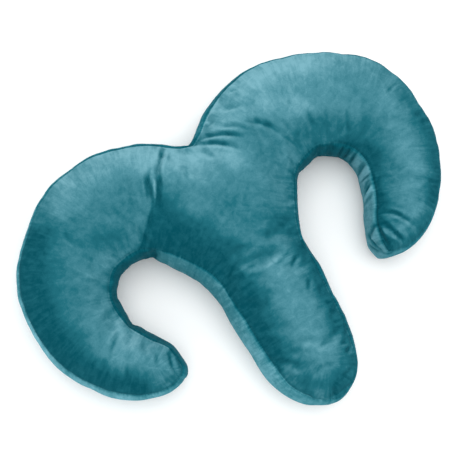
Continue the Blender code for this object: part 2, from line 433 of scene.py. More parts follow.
# %% [markdown]
# ## A smooth cover that passes through the sections
# Subdivision pulls a cage's surface inwards, so the pillow would come out too small. Instead of
# guessing by how much, the cage is pushed out by what the surface misses, a few times over,
# until the surface passes through the sections. The first points of a subdivided mesh are the
# cage's own points, which makes the comparison easy. The underside is then pressed flat. The
# seams' points go into a vertex group, which later holds the stitching still.
# %% Subdivide and fit
CLOTH_LEVELS = 3
FIT_ROUNDS = 4


def evaluated_mesh(obj):
    graph = bpy.context.evaluated_depsgraph_get()
    graph.update()
    return bpy.data.meshes.new_from_object(obj.evaluated_get(graph))


def apply_modifiers(obj):
    mesh = evaluated_mesh(obj)
    obj.modifiers.clear()
    obj.data = mesh


def subdivide(obj, levels):
    modifier = obj.modifiers.new("Subdivision", "SUBSURF")
    modifier.levels = modifier.render_levels = levels


pillow = bpy.data.objects.new("velvet_pillow", cage)
bpy.context.scene.collection.objects.link(pillow)
seam_points = sorted({point for pair in sewn for point in pair})
pillow.vertex_groups.new(name="Seams").add(seam_points, 1.0, "REPLACE")
wanted = mesh_points(cage)
subdivide(pillow, CLOTH_LEVELS)
for _ in range(FIT_ROUNDS):
    surface = evaluated_mesh(pillow)
    set_points(cage, mesh_points(cage) + wanted - mesh_points(surface)[: len(wanted)])
apply_modifiers(pillow)

points = mesh_points(pillow.data)
points[:, 2] = np.maximum(points[:, 2], 0)
set_points(pillow.data, points)
print("The cover has", len(pillow.data.polygons), "quads before it is stuffed")

# %% [markdown]
# ## Stuffing the cover
# Velvet puckers beside a seam, because the thread holds the seam short while the stuffing
# stretches the panels. The simulation copies that: the seams and the underside are pinned, the
# rest of the cloth is given a few hundredths of extra length (a negative shrink), and an inside
# pressure pushes it out. The spare cloth has nowhere to go and buckles into fine folds. Gravity
# is off, because the fibre holds the cover up.
# %% Cloth settings
LAST_FRAME = 20
PRESSURE = 4.0
SPARE_CLOTH = 0.022
CLOTH_MASS = 0.25
STRETCH_STIFFNESS = 25
SHEAR_STIFFNESS = 8
BENDING_STIFFNESS = 1.5
STEPS_PER_FRAME = 6
ON_GROUND = 1 * MM
HELD_WEIGHT = 0.99


def hold_still(obj):
    held = obj.vertex_groups.new(name="Held")
    weights = seam_weights(obj.data)
    low = mesh_points(obj.data)[:, 2] < ON_GROUND
    held.add([int(i) for i in np.flatnonzero(low | (weights > HELD_WEIGHT))], 1.0, "REPLACE")
    return held.name


def add_cloth(obj):
    cloth = obj.modifiers.new("Stuffing", "CLOTH")
    settings = cloth.settings
    settings.vertex_group_mass = hold_still(obj)
    settings.pin_stiffness = 1.0
    settings.quality = STEPS_PER_FRAME
    settings.mass = CLOTH_MASS
    settings.tension_stiffness = settings.compression_stiffness = STRETCH_STIFFNESS
    settings.shear_stiffness = SHEAR_STIFFNESS
    settings.bending_stiffness = BENDING_STIFFNESS
    settings.shrink_min = -SPARE_CLOTH
    settings.use_pressure = True
    settings.uniform_pressure_force = PRESSURE
    settings.effector_weights.gravity = 0
    cloth.collision_settings.use_collision = False
    cloth.point_cache.frame_start = 1
    cloth.point_cache.frame_end = LAST_FRAME


print("The cloth gets", round(100 * SPARE_CLOTH, 1), "per cent of spare length")

# %% [markdown]
# ## Letting the pressure in
# The cloth starts a few millimetres inside its place, so that the pressure has a way to push
# it. What comes out is kept in part only: no point may move by more than 7 mm, the boxing moves
# less than the panels, and the arms' tips hardly move, because their folds would cross. So the
# pillow keeps its outline and still gets the uneven skin of a stuffed one.
# %% Stuff the cover
START_INSIDE = 3 * MM
MOST_MOVE = 7 * MM
BOXING_CALM = 0.4
ARM_TIPS = ((-290, -470), (290, -475))
TIP_CALM = 60 * MM


def calmed(move, length, before):
    move = move * (np.minimum(length, MOST_MOVE) / np.maximum(length, 1e-9))[:, None]
    height = before[:, 2] / MM
    move[(height > BOTTOM_SEAM) & (height < TOP_SEAM)] *= BOXING_CALM
    move[before[:, 2] < ON_GROUND] = 0
    for tip in ARM_TIPS:
        gap = np.linalg.norm(before[:, :2] - (np.array(tip) - PLAN_CENTRE) * MM, axis=1)
        move *= np.clip(gap / TIP_CALM, 0, 1)[:, None]
    return move


def stuff(obj):
    add_cloth(obj)
    before = mesh_points(obj.data)
    inner = before - mesh_normals(obj.data) * START_INSIDE
    inner[:, 2] = np.maximum(inner[:, 2], 0)
    set_points(obj.data, inner)
    for number in range(1, LAST_FRAME + 1):
        bpy.context.scene.frame_set(number)
    apply_modifiers(obj)
    move = mesh_points(obj.data) - before
    length = np.linalg.norm(move, axis=1)
    set_points(obj.data, before + calmed(move, length, before))
    bpy.context.scene.frame_set(1)
    return length


moved = stuff(pillow)
print("The pressure moved the cloth by up to", round(moved.max() / MM, 1), "mm")
print("At most", MOST_MOVE / MM, "mm of that is kept")

# %% [markdown]
# ## Finer cloth
# One more subdivision rounds the simulated folds and brings the quads down to about 4 mm, which
# is fine enough for what is sewn in below. The points' places are read back in plan
# millimetres, so that the next tables can use the same frame as the sections.
# %% Subdivide once more
TOP_FADE = 30.0

subdivide(pillow, 1)
apply_modifiers(pillow)
skin = pillow.data
points = mesh_points(skin) / MM
points[:, :2] += PLAN_CENTRE
normals = mesh_normals(skin)
seam_weight = seam_weights(skin)
on_top = np.clip((points[:, 2] - TOP_SEAM + TOP_FADE) / TOP_FADE, 0, 1)
print("The finer cover has", len(skin.polygons), "quads")

# %% [markdown]
# ## Where the seams run
# The seams are the edges between two points that belong wholly to the seam group. Following
# them gives two closed loops, at the top and at the bottom of the boxing.
# %% Follow the seams
ON_SEAM = 0.999


def seam_loops(mesh, weights):
    links = {}
    for edge in mesh.edges:
        a, b = edge.vertices
        if min(weights[a], weights[b]) > ON_SEAM:
            links.setdefault(a, []).append(b)
            links.setdefault(b, []).append(a)
    loops = []
    while links:
        loop = loop_through(links)
        loops.append(loop)
        for point in loop:
            links.pop(point)
    return loops


loops = seam_loops(skin, seam_weight)
print("Seam loops of", [len(loop) for loop in loops], "points")

# %% [markdown]
# ## How far every point is from a seam
# A k-d tree finds the seam's nearest point for every point of the cloth. The nearest place may
# also lie on one of the two edges that meet there, so both are tried. Without that step the
# distances would jump from one seam point to the next, and so would the puckers.
# %% Measure from the seams
def feet_on_seams(loops):
    """How far each point is from the nearest seam, and where on the seam that is."""
    lines = [points[loop] for loop in loops]
    places = np.concatenate(lines)
    tree = kdtree.KDTree(len(places))
    for number, place in enumerate(places):
        tree.insert(place, number)
    tree.balance()
    near = np.array([tree.find(point)[1] for point in points])
    start = places[near]
    feet, gap = start.copy(), np.linalg.norm(points - start, axis=1)
    for turn in (1, -1):
        step = np.concatenate([np.roll(line, turn, axis=0) for line in lines])[near] - start
        share = np.sum((points - start) * step, axis=1) / np.sum(step * step, axis=1)
        foot = start + np.clip(share, 0, 1)[:, None] * step
        distance = np.linalg.norm(points - foot, axis=1)
        nearer = distance < gap
        feet[nearer], gap[nearer] = foot[nearer], distance[nearer]
    return gap, feet


seam_gap, seam_feet = feet_on_seams(loops)
print("The cloth reaches up to", round(seam_gap.max()), "mm from a seam")

# %% [markdown]
# ## Stitching, puckers and lumps
# Stitching sinks into the cover. Beside it the cloth stands up in short puckers that run square
# to the seam, because the two cut edges never have quite the same length. A noise that is read
# at the nearest point of the seam is constant across it, so it gives such puckers. Loose fibre
# also settles in broad soft lumps. All of them are added up in one list of pushes, and a bell
# curve makes each of them fade softly with its distance.
# %% Push the cloth in and out
SEAM_DEPTH = 2.6
SEAM_WIDTH = 4.5
PUCKER_PITCH = 17.0
PUCKER_HEIGHT = 2.4
PUCKER_REACH = 26.0
SWAG_PITCH = 48.0
SWAG_HEIGHT = 4.0
SWAG_REACH = 60.0
LUMP_SIZE = 85.0
LUMP_HEIGHT = 2.5
STITCHED = 5.0
SEED_STEP = (7.3, 3.1, 5.7)


def bell(gap, width):
    """1 in the middle, falling softly to 0 on both sides."""
    return np.exp(-((gap / width) ** 2))


def noise_at(places, size, seed):
    shift = Vector([seed * step for step in SEED_STEP])
    return np.array([noise.noise(Vector(place) / size + shift) for place in places])


push = -SEAM_DEPTH * bell(seam_gap, SEAM_WIDTH)
beside = 1 - np.exp(-seam_gap / STITCHED)
pucker = noise_at(seam_feet, PUCKER_PITCH, 1) * np.exp(-seam_gap / PUCKER_REACH)
swag = noise_at(seam_feet, SWAG_PITCH, 2) * bell(seam_gap, SWAG_REACH)
lumps = noise_at(points, LUMP_SIZE, 3)
push += beside * (PUCKER_HEIGHT * pucker + SWAG_HEIGHT * swag) + LUMP_HEIGHT * lumps
print("Puckers and lumps stand up to", round(push.max(), 1), "mm")

# %% [markdown]
# ## Folds placed one by one
# The long folds of this pillow are its character: they start at the notch, where the cover turns
# sharply, and fan out over the right arm. Each row of a table gives a fold's two ends and its
# middle, its depth and its width. A negative depth is a ridge. The fold's section is a narrow
# valley between two low shoulders, because the cloth that sinks in is pulled from both sides.
# %% Tables of folds
Fold = namedtuple("Fold", "x0 y0 x1 y1 x2 y2 depth width")
NOTCH_FOLDS = (
    Fold(-4, 10, 8, -12, 26, -30, 7.4, 6.5),
    Fold(12, -12, 71, -35, 119, -75, 6.2, 5),
    Fold(18, -26, 63, -57, 104, -108, 5.6, 5),
    Fold(79, -21, 111, -37, 135, -65, 3.7, 5),
    Fold(129, -35, 172, -65, 195, -106, 4.3, 5.8),
    Fold(195, -102, 212, -133, 226, -160, 2.5, 6.5),
    Fold(104, 16, 127, 8, 164, -5, 2.5, 5.8),
    Fold(10, -36, 23, -58, 36, -80, 2.5, 5.8),
    Fold(146, 48, 158, 45, 169, 40, 1.9, 5),
    Fold(53, 0, 64, 1, 78, 2, 1.9, 5),
    Fold(85, -120, 99, -133, 116, -145, 1.9, 5.8),
    Fold(-30, -58, -42, -76, -53, -99, 1.9, 5.8),
)
PANEL_SEAM_FOLDS = (
    Fold(-38, 20, -77, -17, -104, -46, 7, 5),
    Fold(-94, -32, -117, -79, -150, -116, 8, 5),
    Fold(-106, -24, -130, -48, -153, -103, 6, 4.5),
    Fold(-114, -46, -126, -80, -147, -108, -6, 6),
    Fold(-138, -90, -182, -137, -232, -182, 2.5, 5),
)
ARM_FOLDS = (
    Fold(-351, -52, -351, -78, -341, -100, 2.5, 5),
    Fold(-248, -55, -246, -72, -245, -93, 1.2, 4.5),
    Fold(-283, -84, -274, -116, -270, -141, -1.2, 6.5),
    Fold(-416, -56, -418, -71, -415, -87, 1.9, 4.5),
    Fold(-329, -132, -331, -146, -334, -170, 1.9, 6.5),
    Fold(-376, -135, -360, -156, -345, -180, -1.9, 6.5),
    Fold(-352, -310, -377, -327, -407, -357, 2.5, 5),
    Fold(-372, -379, -387, -401, -405, -429, 2.5, 5.8),
    Fold(-414, -364, -425, -378, -438, -392, 1.9, 5),
    Fold(278, -93, 276, -112, 274, -133, 2.5, 5),
    Fold(212, -73, 219, -98, 221, -124, 1.9, 5),
    Fold(251, -45, 250, -55, 250, -66, 1.9, 4.5),
    Fold(242, -101, 242, -110, 242, -120, 1.2, 5),
    Fold(361, -132, 350, -153, 339, -175, 1.9, 5),
    Fold(511, -136, 486, -140, 464, -150, 2.5, 5.8),
    Fold(525, -229, 505, -227, 483, -229, 2.5, 5.8),
    Fold(460, -392, 450, -381, 435, -378, 2.5, 5),
)
LEG_FOLDS = (
    Fold(96, -362, 74, -375, 52, -387, 4.2, 5),
    Fold(84, -425, 71, -440, 61, -456, 3.2, 5),
    Fold(100, -451, 91, -461, 81, -473, 1.9, 5),
    Fold(70, -351, 49, -359, 24, -367, 1.9, 5),
    Fold(-54, -321, -13, -325, 29, -327, 1.9, 5.8),
    Fold(-97, -327, -60, -333, -18, -329, -2.6, 5),
    Fold(-102, -340, -52, -349, -10, -365, 1.9, 5.8),
    Fold(-39, -348, 14, -356, 78, -346, -1.2, 5.8),
    Fold(104, -500, 92, -498, 79, -497, 2.8, 4.5),
    Fold(97, -552, 86, -547, 74, -543, 3.4, 4.5),
    Fold(83, -600, 75, -596, 62, -592, 3.2, 4.5),
    Fold(80, -619, 73, -616, 62, -615, 3.2, 4.5),
    Fold(-5, -694, -4, -682, -3, -668, 3.2, 5),
)
TIP_FOLDS = (
    Fold(299, -384, 330, -400, 362, -462, 4, 4.5),
    Fold(295, -398, 305, -436, 316, -468, 6, 5),
    Fold(288, -402, 279, -430, 278, -458, 5, 5),
    Fold(292, -408, 292, -432, 297, -456, -3, 6),
    Fold(-307, -389, -314, -412, -328, -439, 2.5, 5),
    Fold(-280, -406, -290, -440, -294, -475, 3.1, 5),
    Fold(-274, -426, -272, -446, -283, -466, 2.5, 5),
)
FOLDS = NOTCH_FOLDS + PANEL_SEAM_FOLDS + ARM_FOLDS + LEG_FOLDS + TIP_FOLDS
print(len(FOLDS), "folds and ridges")

# %% [markdown]
# ## Pressing the folds in
# A fold's line is a curve through its three points. Its strength rises from one end and falls to
# the other, wanders a little on the way, and is less beside a seam, where the stitching holds
# the cloth. A second, narrower copy of the strength is kept as an attribute, and the material
# paints the very bottom of a crease darker with it: painted shade in the crease. A ridge, whose
# depth is negative, is painted paler with it: a painted highlight.
# %% Press the folds in
FOLD_SAMPLES = 17
FOLD_BLUNTNESS = 0.9
SHOULDER_HEIGHT = 0.3
SHOULDER_PLACE = 2.1
CREASE_WIDTH = 3.5
FULL_CREASE = 6.0
WANDER_SIZE = 24.0
WANDER_MEAN, WANDER_SWING = 0.85, 0.7
HELD_AT_SEAM, FREE_FROM_SEAM = 0.35, 14.0

crease_shading = np.zeros(len(points))
wander = WANDER_MEAN + WANDER_SWING * noise_at(points, WANDER_SIZE, 4)
clear_of_seam = np.clip(HELD_AT_SEAM + seam_gap / FREE_FROM_SEAM, 0, 1)


def fold_line(fold):
    start, middle, end = np.array(fold[:6], dtype=float).reshape(3, 2)
    bend = 2 * middle - (start + end) / 2
    t = np.linspace(0, 1, FOLD_SAMPLES)[:, None]
    return (1 - t) ** 2 * start + 2 * t * (1 - t) * bend + t**2 * end


def fold_section(gap, width):
    """A valley between two low shoulders."""
    return bell(gap, width) - SHOULDER_HEIGHT * bell(gap - SHOULDER_PLACE * width, width)


for fold in FOLDS:
    gap, place = distance_to_line(points[:, :2], fold_line(fold))
    strength = np.sin(np.pi * place) ** FOLD_BLUNTNESS * on_top * wander * clear_of_seam
    push -= fold.depth * strength * fold_section(gap, fold.width)
    crease_shading += fold.depth / FULL_CREASE * strength * bell(gap, CREASE_WIDTH)
print("The deepest crease has a strength of", round(crease_shading.max(), 2))

# %% [markdown]
# ## Brushed strokes, with painted light and shade
# Velvet remembers every hand that has passed over it. A stroke against the nap leaves a deep
# band and a stroke with it leaves a pale one. The broad bands on this pillow are written like
# the folds: a curve, a width and a tone, which is negative for a deep band. On the panel the
# bands are partly such brushing and partly painted light and shade: deep bands lie on slopes
# turned from the light, and pale ones on lit tops. On the boxing they are painted shade inside
# the gaps and on the rim under the panel's edge, and painted light on the more open walls.
# %% Tables of strokes
Stroke = namedtuple("Stroke", "x0 y0 x1 y1 x2 y2 width tone")
NAP_AND_SHADE_STROKES = (
    Stroke(-432, -42, -482, -157, -473, -332, 46, -0.38),
    Stroke(-149, -163, -120, -271, -84, -372, 43, -0.37),
    Stroke(-94, -373, -102, -450, -98, -535, 33, -0.46),
    Stroke(498, -170, 499, -298, 443, -404, 26, -0.20),
    Stroke(-30, -645, 0, -665, 35, -640, 28, -0.12),
    Stroke(312, -225, 324, -302, 290, -398, 26, -0.42),
    Stroke(-371, -25, -317, -91, -240, -120, 25, -0.12),
    Stroke(-385, 5, -420, -95, -405, -190, 42, -0.10),
    Stroke(-308, -160, -362, -228, -352, -330, 34, 0.17),
    Stroke(-333, 7, -219, 36, -92, 3, 40, 0.12),
    Stroke(32, -396, 12, -495, 0, -590, 40, 0.12),
    Stroke(-340, -440, -310, -450, -290, -460, 26, 0.15),
    Stroke(421, -242, 403, -356, 347, -438, 30, 0.08),
    Stroke(30, -200, 60, -240, 90, -290, 40, -0.12),
    Stroke(105, -330, 100, -420, 80, -560, 24, -0.24),
    Stroke(-83, -598, -70, -643, -33, -683, 26, 0.32),
    Stroke(71, 28, 160, 44, 325, 10, 42, 0.22),
    Stroke(-90, -20, -20, -60, 60, -95, 40, 0.15),
    Stroke(14, -9, 56, 14, 115, 50, 6, 0.5),
    Stroke(180, -30, 290, -40, 370, -70, 40, 0.08),
    Stroke(245, -77, 188, -149, 104, -237, 40, 0.13),
    Stroke(75, -15, 130, -22, 200, -25, 26, 0.20),
    Stroke(260, -65, 320, -95, 375, -145, 28, 0.22),
    Stroke(438, -165, 447, -241, 433, -310, 26, 0.08),
    Stroke(20, -40, 45, -70, 75, -110, 26, 0.22),
    Stroke(-480, -340, -430, -395, -380, -430, 26, -0.20),
    Stroke(-60, -240, -20, -262, 20, -270, 40, -0.08),
)
# The boxing's bands are painted shade inside the gaps and on the rim under the panel's edge, and
# painted light on the more open walls.
BOXING_LIGHT_AND_SHADE = (
    Stroke(219, -182, 275, -174, 315, -200, 42, -0.7),
    Stroke(-313, -221, -275, -175, -204, -186, 45, -0.40),
    Stroke(-300, -340, -318, -305, -324, -270, 36, -0.30),
    Stroke(-160, -226, -128, -300, -128, -400, 45, -0.09),
    Stroke(-124, -415, -123, -530, -90, -660, 45, 0.08),
    Stroke(332, -240, 312, -340, 265, -440, 36, 0.16),
    Stroke(-535, -230, -520, -390, -330, -490, 60, 0.24),
    Stroke(20, 12, 60, 40, 187, 84, 35, -0.35),
    Stroke(-190, 87, -265, 88, -430, 9, 30, -0.15),
)
print(len(NAP_AND_SHADE_STROKES), "strokes on the panel and", len(BOXING_LIGHT_AND_SHADE), "on the boxing")

# %% [markdown]
# ## Brushing and shading the panel and the boxing apart
# Seen from above, the boxing lies under the panel's edge, so a stroke over the one must not
# colour the other. Each table therefore counts only on its own cloth. The change from one to the
# other takes a few millimetres beside the seam, because the points lie about that far apart.
# %% Brush the nap and paint light and shade
BOXING_EDGE = 14


def strokes_on(strokes):
    total = np.zeros(len(points))
    for stroke in strokes:
        gap, _ = distance_to_line(points[:, :2], fold_line(stroke))
        total += stroke.tone * bell(gap, stroke.width)
    return total


middle_height = BOTTOM_SEAM + BOXING / 2
level = np.clip(1 - np.abs(points[:, 2] - middle_height) / (BOXING / 2), 0, 1)
on_boxing = np.clip(level * BOXING_EDGE, 0, 1)
# The strokes add brushed nap and painted light and shade to the tone.
brushed_and_shaded = strokes_on(NAP_AND_SHADE_STROKES) * on_top * (1 - on_boxing)
brushed_and_shaded += strokes_on(BOXING_LIGHT_AND_SHADE) * on_boxing
print("The nap is brushed between", round(brushed_and_shaded.min(), 2), "and", round(brushed_and_shaded.max(), 2))

# %% [markdown]
# ## The cross seam on the left arm
# The top panel was too wide for the cloth, so it is cut in two parts, and a plain seam joins
# them across the left arm. The nap of the two parts does not meet quite alike, so one side of
# the seam is paler. The signed distance from the seam tells the sides apart. The seam allowance
# lies under the left part and shows as a second, fainter line beside the stitching.
# %% Measure from the cross seam
PANEL_SEAM = (
    (-48, -1), (-77, -17), (-100, -42), (-118, -66), (-146, -99), (-186, -138), (-235, -180)
)
seam_line = np.array(PANEL_SEAM, dtype=float)
seam_steps = np.diff(seam_line, axis=0)
panel_gap, panel_place = distance_to_line(points[:, :2], seam_line)
number = np.minimum((panel_place * len(seam_steps)).astype(int), len(seam_steps) - 1)
along = seam_steps[number]
away = points[:, :2] - seam_line[number]
side = np.sign(along[:, 0] * away[:, 1] - along[:, 1] * away[:, 0])
panel_side = side * panel_gap
print("The cross seam is", round(np.linalg.norm(seam_steps, axis=1).sum()), "mm long")

# %% [markdown]
# ## Sewing and brushing the cross seam
# The stitching sinks in, and the edge of the allowance underneath sinks in half as much. Both
# fade towards the ends of the seam. The two sides differ in tone only on its lower half, away
# from the knot of folds at the notch.
# %% Sew the cross seam
SEWN_DEPTH, SEWN_WIDTH = 1.6, 4
ALLOWANCE, ALLOWANCE_SHARE, ALLOWANCE_WIDTH = 9.0, 0.5, 3
SEAM_END = 12
SIDE_TONE = 0.17
SIDE_REACH = 55.0
SIDE_EDGE = 2
SIDE_FROM, SIDE_RISE = 0.45, 6


def window(share, rise, fall):
    """1 along a line, with a slope down to 0 at its start and at its end."""
    return np.clip(share * rise, 0, 1) * np.clip((1 - share) * fall, 0, 1)


lower_half = np.clip((panel_place - SIDE_FROM) * SIDE_RISE, 0, 1)
leftward = -np.tanh(panel_side / SIDE_EDGE)
brushed_and_shaded += SIDE_TONE * leftward * lower_half * bell(panel_gap, SIDE_REACH) * on_top
sunk = bell(panel_gap, SEWN_WIDTH)
sunk += ALLOWANCE_SHARE * bell(panel_side + ALLOWANCE, ALLOWANCE_WIDTH)
push -= SEWN_DEPTH * sunk * window(panel_place, SEAM_END, SEAM_END) * on_top
print(int((sunk * on_top > 0.5).sum()), "points are sewn down")

# %% [markdown]
# ## Gathers round the inside of the right arm
# There the boxing turns tightly, so its length is eased in with upright gathers between the two
# seams. They run round one centre, so they are written with an angle. At the start of the bend
# they lean over.
# %% Measure round the bend
GATHERS_CENTRE = (246.0, -262.0)
GATHERS_FROM, GATHERS_TO = np.radians((-26.0, 86.0))
GATHERS_REACH = 150.0
GATHER_COUNT = 8
GATHER_UNEVENNESS = 0.035
GATHER_LEAN = 0.9

arm = points[:, :2] - GATHERS_CENTRE
reach = np.linalg.norm(arm, axis=1)
angle = np.arctan2(arm[:, 1], arm[:, 0])
bend = GATHERS_TO - GATHERS_FROM
share = np.clip((angle - GATHERS_FROM) / bend, 0, 1)
below_seam = np.clip((TOP_SEAM - points[:, 2]) / BOXING, 0, 1)
lean = GATHER_LEAN * np.clip(1 - 2 * share, 0, 1) * below_seam
spaced = share + GATHER_UNEVENNESS * np.sin(4 * np.pi * share)
phase = GATHER_COUNT * spaced + lean
print(GATHER_COUNT, "gathers over", round(np.degrees(bend)), "degrees")

# %% [markdown]
# ## The gathers' folds
# Each gather is a narrow valley, and the cloth between two valleys stands only a little proud,
# because the gap beside it has to stay as wide as it is. The gathers differ in strength, and end
# where the boxing's lower part is no longer eased in. Their bottoms are painted dark, a painted
# shade, and their backs a little paler, a painted highlight, so they are entered in the creases'
# shading too.
# %% Gather the boxing
GATHER_DEPTH = 4.2
VALLEY_SHARE = 0.17
BACK_HEIGHT, VALLEY_DEPTH = 0.25, 1.6
VALLEY_SHADE, BACK_HIGHLIGHT = 1.5, 0.5
STRENGTH_MEAN, STRENGTH_SWING, STRENGTH_SIZE = 0.75, 0.9, 1.3
GATHER_HEIGHT, GATHER_BLUNTNESS = 1.6, 0.6
GATHERS_RISE, GATHERS_FALL = 10, 9

phases = np.column_stack([phase, 0 * phase, 0 * phase])
strong = STRENGTH_MEAN + STRENGTH_SWING * noise_at(phases, STRENGTH_SIZE, 5)
valley = bell((phase + 0.5) % 1 - 0.5, VALLEY_SHARE)
near_seam = np.sin(np.pi * np.clip(below_seam * GATHER_HEIGHT, 0, 1)) ** GATHER_BLUNTNESS
gathered = window(share, GATHERS_RISE, GATHERS_FALL) * near_seam * strong
gathered = gathered * (reach < GATHERS_REACH)
push += GATHER_DEPTH * (BACK_HEIGHT - VALLEY_DEPTH * valley) * gathered
crease_shading += (VALLEY_SHADE * valley - BACK_HIGHLIGHT) * gathered
print(int((gathered > 0.1).sum()), "points are gathered")

# %% [markdown]
# ## Pinches in the boxing
# The boxing is joined end to end in the left gap, and there the cover is drawn in so sharply that
# the joint shows as a black notch: a deep pinch with painted shade in its bottom. A second pinch,
# without a joint, sits lower down on the left arm, and a shallow one lies between them. Each row
# gives a place in the plan, a depth, a width and how dark the bottom of it is painted, which is
# painted shade in the pinch. The nap of the boxing differs on the joint's two sides.
# %% Pinch the boxing
Pinch = namedtuple("Pinch", "x y depth width dark")
PINCHES = (
    Pinch(-203, -194, 9, 5, 2.2),
    Pinch(-320, -306, 6, 5, 0.8),
    Pinch(-309, -226, 3, 6, 0.6),
)
PINCH_REACH = 2.2
PINCH_DARKNESS = 1.6
JOINT_TONE = 0.3
JOINT_REACH = 60.0
JOINT_EDGE = 3

for pinch in PINCHES:
    gap = np.linalg.norm(points[:, :2] - (pinch.x, pinch.y), axis=1)
    push -= pinch.depth * on_boxing * bell(gap / pinch.width, PINCH_REACH)
    crease_shading += pinch.dark * on_boxing * bell(gap / pinch.width, PINCH_DARKNESS)
joint = PINCHES[0]
gap = np.linalg.norm(points[:, :2] - (joint.x, joint.y), axis=1)
side = np.tanh((points[:, 0] - joint.x) / JOINT_EDGE)
brushed_and_shaded += JOINT_TONE * side * on_boxing * bell(gap, JOINT_REACH)
print("The deepest pinch is", max(pinch.depth for pinch in PINCHES), "mm deep")

# %% [markdown]
# ## Pleats at the arms' tips
# Round the tips the boxing turns so tightly that it lies in short slanting pleats, and on the
# inner side of the right arm it is creased. They lie on a steep wall, so each row gives its two
# ends with their heights too. A negative depth is a ridge.
# %% Pleat the boxing
Pleat = namedtuple("Pleat", "x0 y0 z0 x1 y1 z1 depth width")
PLEATS = (
    Pleat(294, -396, 158, 268, -414, 103, 5.0, 5.5),
    Pleat(266, -420, 104, 270, -456, 127, 4.5, 5.0),
    Pleat(260, -436, 86, 282, -478, 142, 4.5, 5.0),
    Pleat(311, -322, 97, 328, -308, 144, 4.0, 4.5),
    Pleat(308, -334, 92, 326, -319, 144, -2.0, 4.5),
    Pleat(314, -312, 99, 331, -297, 144, 3.0, 4.5),
    Pleat(306, -344, 90, 322, -332, 144, 2.5, 4.5),
    Pleat(-296, -470, 150, -285, -476, 90, 3.5, 5.0),
    Pleat(-283, -452, 150, -278, -462, 95, 3.5, 5.0),
)
PLEAT_SHADING = 0.34
PLEAT_END = 0.1
PLEAT_BLUNTNESS = 0.5

for pleat in PLEATS:
    gap, place = distance_to_line(points, np.array(pleat[:6], dtype=float).reshape(2, 3))
    strength = np.sin(np.pi * np.clip(place, PLEAT_END, 1 - PLEAT_END)) ** PLEAT_BLUNTNESS
    strength = strength * on_boxing * clear_of_seam
    push -= pleat.depth * strength * fold_section(gap, pleat.width)
    # The pleats' valleys are painted darker, a painted shade, and their ridges paler, a painted
    # highlight.
    crease_shading += PLEAT_SHADING * pleat.depth * strength * bell(gap, pleat.width)
print(len(PLEATS), "pleats and ridges in the boxing")

# %% [markdown]
# ## Moving the cloth
# All pushes act along the cloth's own normals, in one step. They fade out towards the ground, so
# that the cloth turns under cleanly and the underside stays flat.
# %% Apply the pushes
LIFTED = 45.0

push *= np.clip(points[:, 2] / LIFTED, 0, 1)
points += normals * push[:, None]
points[:, 2] = np.maximum(points[:, 2], 0)
set_points(skin, (points - (*PLAN_CENTRE, 0)) * MM)
print("The cover now spans", [round(c, 3) for c in np.ptp(mesh_points(skin), axis=0)])

# %% [markdown]
# ## What the velvet has to know
# The material cannot work out where a seam or a crease is, so each point keeps that as an
# attribute. The combed place is the foot on the seam, lifted a little more the further away the
# point lies. A noise that is read there gives fine streaks that run square to the seam.
# %% Store the attributes
ALONG_THE_COMB = 0.22


def store(name, values, kind="FLOAT"):
    attribute = skin.attributes.new(name, kind, "POINT")
    field = "vector" if kind == "FLOAT_VECTOR" else "value"
    attribute.data.foreach_set(field, np.ascontiguousarray(values, dtype=float).ravel())


combed = seam_feet + np.outer(seam_gap, (0, 0, ALONG_THE_COMB))
store("seam_gap", seam_gap)
store("seam_foot", seam_feet, "FLOAT_VECTOR")
store("combed", combed, "FLOAT_VECTOR")
# The crease and brushed attributes carry painted shade and painted light to the material.
store("crease_shading", crease_shading)
store("brushed_and_shaded", brushed_and_shaded)
skin.shade_smooth()
print("The cover carries", len(skin.attributes), "attributes")

# %% [markdown]
# ## Fewer faces underneath
# The underside lies flat on the ground and shows nothing. Thinning only that part leaves more of
# the faces for the cloth that is seen.
# %% Thin the underside
THINNED = 0.86
THINNED_BELOW = BOTTOM_SEAM - 6
THINNED_INSIDE = 12
ONLY_THERE = 1000

below = pillow.vertex_groups.new(name="Below")
low = np.flatnonzero((points[:, 2] < THINNED_BELOW) & (seam_gap > THINNED_INSIDE))
below.add([int(i) for i in low], 1.0, "REPLACE")
thinning = pillow.modifiers.new("Fewer faces below", "DECIMATE")
thinning.vertex_group = below.name
thinning.vertex_group_factor = ONLY_THERE
thinning.ratio = THINNED
apply_modifiers(pillow)
pillow.vertex_groups.clear()
triangles = sum(len(face.vertices) - 2 for face in pillow.data.polygons)
print("The finished cover has", triangles, "triangles")

# %% [markdown]
# ## Velvet
# The cover is polyester velvet with a short sheared pile. The pile leans one way. Seen down the
# nap it shows the fibres' sides and looks pale; seen into it, it swallows the light and looks
# deep and saturated. The material goes from a deep teal to a pale one by how far the cloth's own
# normal turns along one fixed direction, the same from every view: slopes facing that way are
# painted pale and slopes facing away are painted deep. That is painted light and shade by the
# slope's direction, standing in part for the leaning pile. Hands and stuffing have also brushed
# the pile here and there, which gives clouds and streaks, and some of those bands are painted
# light and shade too.
# %% Colours and nodes
def linear(hex_colour):
    """A linear colour, with alpha, from an sRGB hex value such as 4a7b8c."""
    shares = [int(hex_colour[start : start + 2], 16) / 255 for start in (0, 2, 4)]
    return *(s / 12.92 if s <= 0.04045 else ((s + 0.055) / 1.055) ** 2.4 for s in shares), 1


def add_node(tree, kind, inputs=None, **settings):
    """Adds a node, sets it, and fills its inputs with values or with other nodes' outputs."""
    node = tree.nodes.new(kind)
    for name, value in settings.items():
        setattr(node, name, value)
    for name, value in (inputs or {}).items():
        if isinstance(value, bpy.types.NodeSocket):
            tree.links.new(value, node.inputs[name])
        else:
            node.inputs[name].default_value = value
    return node


PANEL_TEALS = [linear(shade) for shade in ("004450", "195c68", "437a86", "699aa6")]
BOXING_TEALS = [linear(shade) for shade in ("004854", "125f6c", "3b7c88", "69a3b1")]
print("The deepest teal is", [round(c, 3) for c in PANEL_TEALS[0][:3]])

